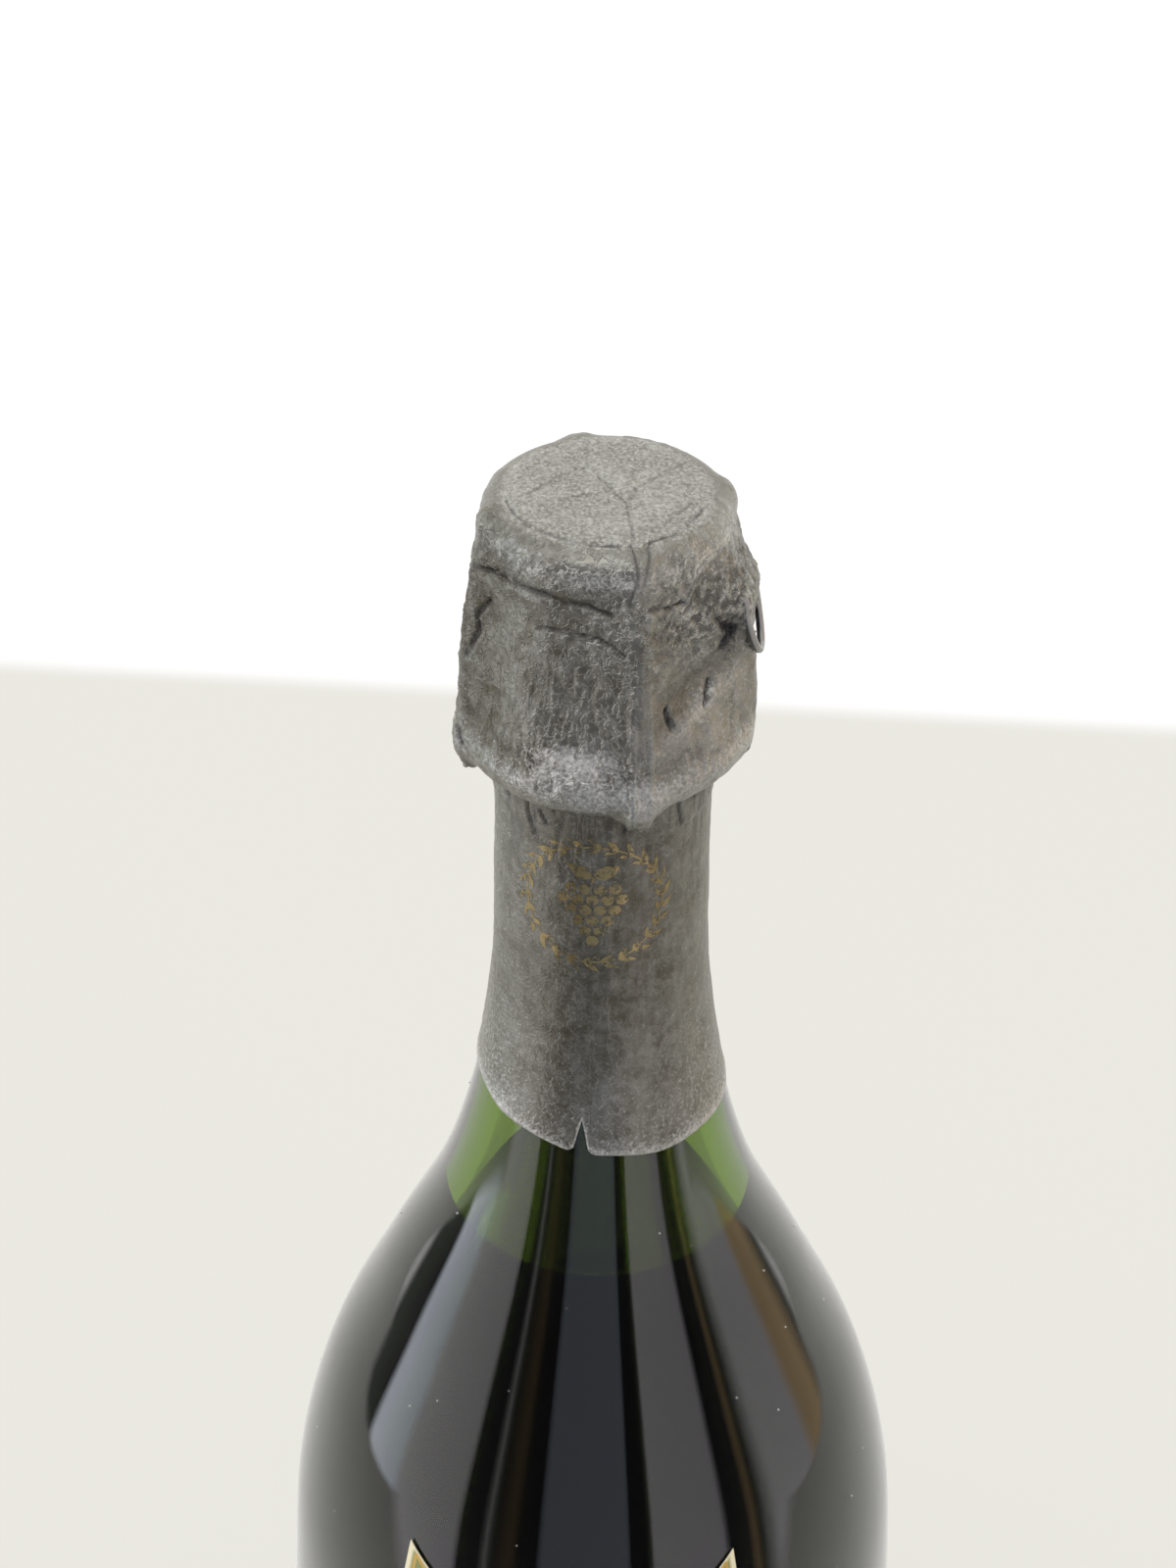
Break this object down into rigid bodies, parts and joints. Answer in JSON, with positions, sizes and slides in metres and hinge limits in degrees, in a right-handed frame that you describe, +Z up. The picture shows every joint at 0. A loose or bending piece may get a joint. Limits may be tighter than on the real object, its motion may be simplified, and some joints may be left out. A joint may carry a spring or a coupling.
{
  "type": "champagne bottle",
  "caption": "Corked dark green sparkling-wine bottle with swelling shoulders, long neck, punted base, wire cage with a twist key, crumpled foil hood and curved front label.",
  "frame": {"origin": "centre of the base, in the plane of the standing ring that the bottle rests on", "axes": "+Z up along the bottle's axis towards the cork; -Y towards the front, where the label is; +X to the right of the label"},
  "size_m": [0.094, 0.0945, 0.3101],
  "materials": {
    "green_glass": "gloss",
    "wine": "gloss",
    "lead_foil": "satin",
    "label_paper": "satin",
    "moulded_cork": "matte",
    "natural_cork": "matte",
    "cap_lacquer": "satin",
    "galvanised_wire": "satin"
  },
  "bodies": {
    "bottle": {"glass_bottle": "green_glass", "wine": "wine", "foil_neck": "lead_foil", "front_label": "label_paper"},
    "cork": {"cork_body": "moulded_cork", "cork_disc_upper": "natural_cork", "cork_disc_lower": "natural_cork"},
    "cage": {"cork_cap": "cap_lacquer", "cage_wire_1": "galvanised_wire", "cage_wire_2": "galvanised_wire", "cage_wire_3": "galvanised_wire", "cage_wire_4": "galvanised_wire", "belt_wire": "galvanised_wire"},
    "key": {"cage_key": "galvanised_wire"},
    "hood": {"foil_hood": "lead_foil"}
  },
  "joints": [
    {"name": "cork_pull", "type": "slide", "parent": "bottle", "child": "cork", "axis": [0, 0, 1], "range_m": [0, 0.035], "deforming": ["belt_wire"]},
    {"name": "cage_lift", "type": "slide", "parent": "cork", "child": "cage", "axis": [0, 0, 1], "range_m": [0, 0.045], "deforming": ["belt_wire"]},
    {"name": "key_fold", "type": "hinge", "parent": "cage", "child": "key", "pos_m": [0.01737, -0.00244, 0.2765], "axis": [0.1392, 0.9903, 0], "range_deg": [0, 90]},
    {"name": "hood_off", "type": "slide", "parent": "cage", "child": "hood", "axis": [0, 0, 1], "range_m": [0, 0.045]}
  ]
}
